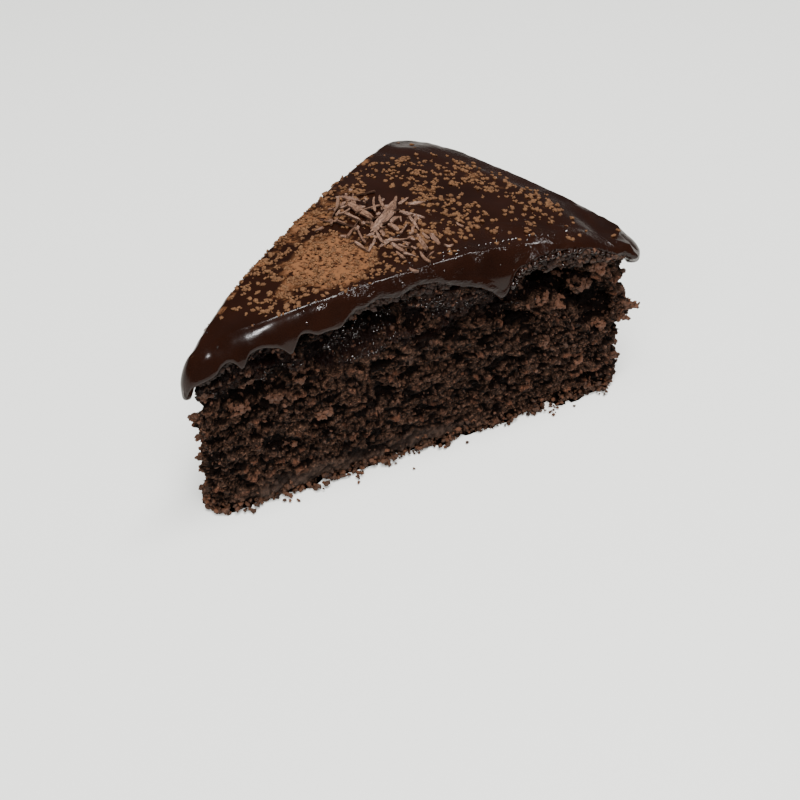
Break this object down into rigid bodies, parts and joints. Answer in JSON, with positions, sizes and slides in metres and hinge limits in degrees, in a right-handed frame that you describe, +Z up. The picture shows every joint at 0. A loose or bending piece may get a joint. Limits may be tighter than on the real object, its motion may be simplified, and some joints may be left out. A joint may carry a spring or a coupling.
{
  "type": "slice of chocolate cake",
  "caption": "Wedge of chocolate sponge cake with torn, crumbly cut faces under a thick glossy ganache that drips over its edges, topped with shavings and cocoa.",
  "frame": {"origin": "on the flat base, on the centre line of the slice, 66 mm out from the middle of the round cake it was cut from", "axes": "+Z up, +Y from the point of the slice towards its outer rim, +X out of the cut face that the picture shows"},
  "size_m": [0.0869, 0.1203, 0.0551],
  "materials": {
    "chocolate_sponge": "matte, torn and porous crumb",
    "ganache": "glossy, poured and set"
  },
  "bodies": {
    "root": {"sponge": "chocolate_sponge", "ganache": "ganache"}
  },
  "joints": []
}
